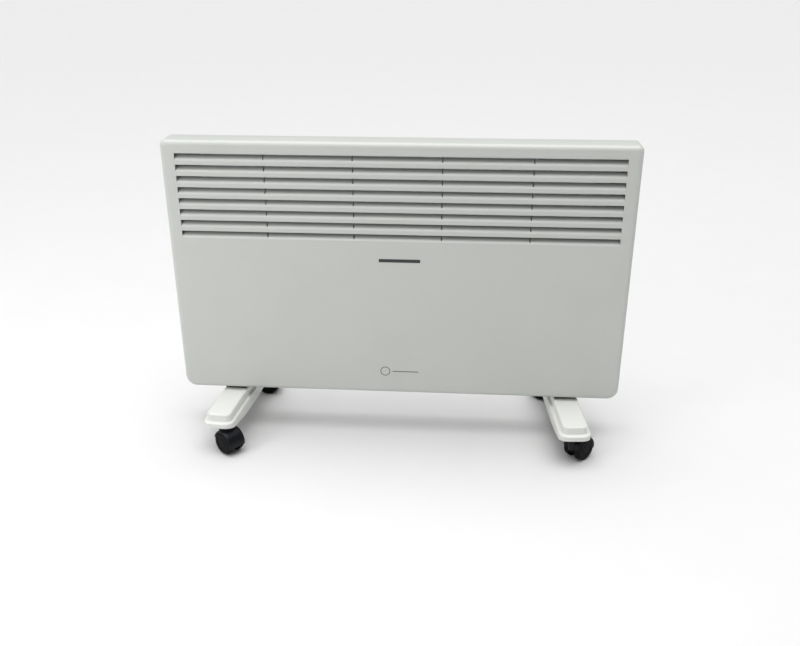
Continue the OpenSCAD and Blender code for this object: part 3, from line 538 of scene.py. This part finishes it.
INK = 0.12 * MM
BADGE_X, BADGE_Z, BADGE_HALF_W, BADGE_HALF_H = 2.8 * MM, 295 * MM, 31 * MM, 2.6 * MM
RING_X, RING_Z, RING_R, RING_INNER_R = -20.2 * MM, 110 * MM, 7.9 * MM, 6.5 * MM
DASH_START, DASH_END, DASH_HALF_H = 11.5 * MM, 52 * MM, 0.8 * MM
AXLE_END, CAP_R, CAP_GAP, CAP_T = 15 * MM, 2.04 * MM, 0.02 * MM, 0.48 * MM
# The knob's pointer line, and its scale dots on the control tray's floor.
LINE_HALF_W, LINE_START, LINE_END, LINE_SINK, LINE_RISE = (
    0.5 * MM, 2 * MM, 8.4 * MM, 0.3 * MM, 0.05 * MM)
TRAY_FLOOR_X = 329.3 * MM
DOT_COUNT, DOT_RING_R, DOT_R, DOT_SINK, DOT_RISE = 11, 11.4 * MM, 0.35 * MM, 0.1 * MM, 0.12 * MM
KNOB_TRAVEL = 270


def add_ring(bm, centre, outer, inner, low, high, turn, steps=48):
    """A flat ring between two heights along the turned Z axis; inner 0 makes a disc."""
    place = Matrix.Translation(centre) @ turn
    if inner:
        profile = [(inner, low), (outer, low), (outer, high), (inner, high)]
        add_lathe(bm, profile, place, steps)
    else:
        bmesh.ops.create_cone(bm, cap_ends=True, segments=steps, radius1=outer, radius2=outer,
                              depth=high - low,
                              matrix=place @ Matrix.Translation((0, 0, (low + high) / 2)))


def build_marks():
    """The print on the front, kept plain: a bar, and below it a ring with a dash."""
    bm = bmesh.new()
    add_box(bm, (BADGE_X - BADGE_HALF_W, FRONT_Y - INK, BADGE_Z - BADGE_HALF_H),
            (BADGE_X + BADGE_HALF_W, FRONT_Y + INK, BADGE_Z + BADGE_HALF_H))
    make_piece("front_badge", bm, "case", "grey_plastic", finish="print_ink")
    bm = bmesh.new()
    facing = Matrix.Rotation(math.pi / 2, 4, "X")
    add_ring(bm, Vector((RING_X, FRONT_Y, RING_Z)), RING_R, RING_INNER_R, -INK, INK, facing)
    add_box(bm, (RING_X + DASH_START, FRONT_Y - INK, RING_Z - DASH_HALF_H),
            (RING_X + DASH_END, FRONT_Y + INK, RING_Z + DASH_HALF_H))
    make_piece("front_ring_mark", bm, "case", "grey_plastic", finish="print_grey")


def build_wheel_caps():
    """Plugs that close each wheel's bore over the axle's end."""
    cap_start = AXLE_END + CAP_GAP
    for corner in ("front_left", "front_right", "rear_left", "rear_right"):
        low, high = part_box(corner + "_axle")
        middle = (low + high) / 2
        for letter in "ab":
            wheel_low, wheel_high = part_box(f"{corner}_wheel_{letter}")
            outward = ((wheel_low + wheel_high) / 2 - middle).normalized()
            turn = outward.to_track_quat("Z", "Y").to_matrix().to_4x4()
            bm = bmesh.new()
            add_ring(bm, middle, CAP_R, 0, cap_start, cap_start + CAP_T, turn, 32)
            make_piece(f"{corner}_cap_{letter}", bm, f"{corner}_wheel_{letter}", "wheel_black")


def build_control_marks():
    """A white line on the knob, and the dots of its scale on the tray, clockwise from the
    top as far as the knob turns."""
    low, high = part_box("thermostat_knob")
    middle = (low + high) / 2
    bm = bmesh.new()
    add_box(bm, (high.x - LINE_SINK, middle.y - LINE_HALF_W, middle.z + LINE_START),
            (high.x + LINE_RISE, middle.y + LINE_HALF_W, middle.z + LINE_END))
    make_piece("knob_pointer_line", bm, "thermostat", "cream_plastic", finish="white_mark")
    bm = bmesh.new()
    for a in arc(0, KNOB_TRAVEL, DOT_COUNT - 1):
        add_ring(bm, Vector((TRAY_FLOOR_X, middle.y + DOT_RING_R * math.sin(a),
                             middle.z + DOT_RING_R * math.cos(a))),
                 DOT_R, 0, -DOT_SINK, DOT_RISE, Matrix.Rotation(math.pi / 2, 4, "Y"), 16)
    make_piece("knob_scale_dots", bm, "case", "cream_plastic", finish="white_mark")


def soften(names, width):
    """Rounds the sharp edges of CAD nodes with a small bevel, as a modifier."""
    for name in names:
        mod = NODES[name].modifiers.new("edge", "BEVEL")
        mod.width = width
        mod.segments = 2
        mod.limit_method = "ANGLE"
        mod.angle_limit = math.radians(40)
        mod.use_clamp_overlap = True


build_foot("foot_left_skin", "foot_left", -1)
build_foot("foot_right_skin", "foot_right", 1)
build_front_panel()
build_marks()
build_wheel_caps()
build_control_marks()
soften(("control_tray", "thermostat_knob", "terminal_block", "cable_gland"), 0.35 * MM)
soften(("switch_low_rocker", "switch_high_rocker", "switch_fan_rocker"), 0.5 * MM)
soften(("switch_low_body", "switch_high_body", "switch_fan_body"), 0.25 * MM)


# ---------------------------------------------------------------- camera

CAMERA_PLACE = (0.0998, -1.2626, 0.7466)
CAMERA_YAW, CAMERA_PITCH, CAMERA_ROLL = -4.479, 24.089, 0.236
CAMERA_LENS, CAMERA_SENSOR, CAMERA_CLIP_END = 39.63, 36, 50


def add_camera():
    """The photograph's angle: looking 24 degrees down from a little right of the middle."""
    yaw, pitch, roll = (math.radians(a) for a in (CAMERA_YAW, CAMERA_PITCH, CAMERA_ROLL))
    fwd = Vector((math.sin(yaw) * math.cos(pitch), math.cos(yaw) * math.cos(pitch),
                  -math.sin(pitch)))
    right = Vector((math.cos(yaw), -math.sin(yaw), 0))
    down = fwd.cross(right)
    side = right * math.cos(roll) + down * math.sin(roll)
    up = right * math.sin(roll) - down * math.cos(roll)
    data = bpy.data.cameras.new("camera")
    data.lens = CAMERA_LENS
    data.sensor_width = CAMERA_SENSOR
    data.clip_end = CAMERA_CLIP_END
    cam = bpy.data.objects.new("camera", data)
    cam.matrix_world = Matrix.Translation(CAMERA_PLACE) @ Matrix(
        (side, up, -fwd)).transposed().to_4x4()
    bpy.context.scene.collection.objects.link(cam)
    bpy.context.scene.camera = cam


# ---------------------------------------------------------------- stage and light

FLOOR_HALF = 12.0
SKY_STRENGTH = 3.8
SKY_STOPS = [(0.0, (0.055, 0.055, 0.055)), (0.7, (0.07, 0.07, 0.07)), (0.97, (1.0, 1.0, 1.0))]


def add_floor():
    """A large plain pale floor at the wheels' lowest points."""
    half = FLOOR_HALF
    mesh = bpy.data.meshes.new("floor")
    mesh.from_pydata([(-half, -half, 0), (half, -half, 0), (half, half, 0), (-half, half, 0)],
                     [], [(0, 1, 2, 3)])
    floor = bpy.data.objects.new("floor", mesh)
    bpy.context.scene.collection.objects.link(floor)
    dress(floor, surface("floor_paint", (0.68, 0.68, 0.68), (0.67, 0.67, 0.67), 0.7, 30, 0.1))


def add_sky():
    """Soft light that comes mostly from straight above."""
    world = bpy.data.worlds.new("studio")
    world.use_nodes = True
    bpy.context.scene.world = world
    tree = world.node_tree
    background = tree.nodes["Background"]
    coords = tree.nodes.new("ShaderNodeTexCoord")
    split = tree.nodes.new("ShaderNodeSeparateXYZ")
    tree.links.new(coords.outputs["Generated"], split.inputs["Vector"])
    tree.links.new(ramp(tree, split.outputs["Z"], SKY_STOPS), background.inputs["Color"])
    background.inputs["Strength"].default_value = SKY_STRENGTH


def area_light(name, place, aim, size, power):
    """A rectangular white light at place, pointed at aim, with its power in watts."""
    data = bpy.data.lights.new(name, "AREA")
    data.shape = "RECTANGLE"
    data.size, data.size_y = size
    data.energy = power
    light = bpy.data.objects.new(name, data)
    light.location = place
    light.rotation_euler = (Vector(aim) - Vector(place)).to_track_quat("-Z", "Y").to_euler()
    bpy.context.scene.collection.objects.link(light)


def add_lights():
    """A wide panel overhead, and a weak fill from the front left."""
    area_light("overhead", (0, -0.1, 2.6), (0, 0, 0.2), (2.4, 1.6), 7)
    area_light("left_fill", (-1.15, -0.95, 0.75), (-0.25, 0, 0.3), (0.6, 0.6), 6)


add_camera()
add_floor()
add_sky()
add_lights()
bpy.context.scene.view_settings.view_transform = "Standard"
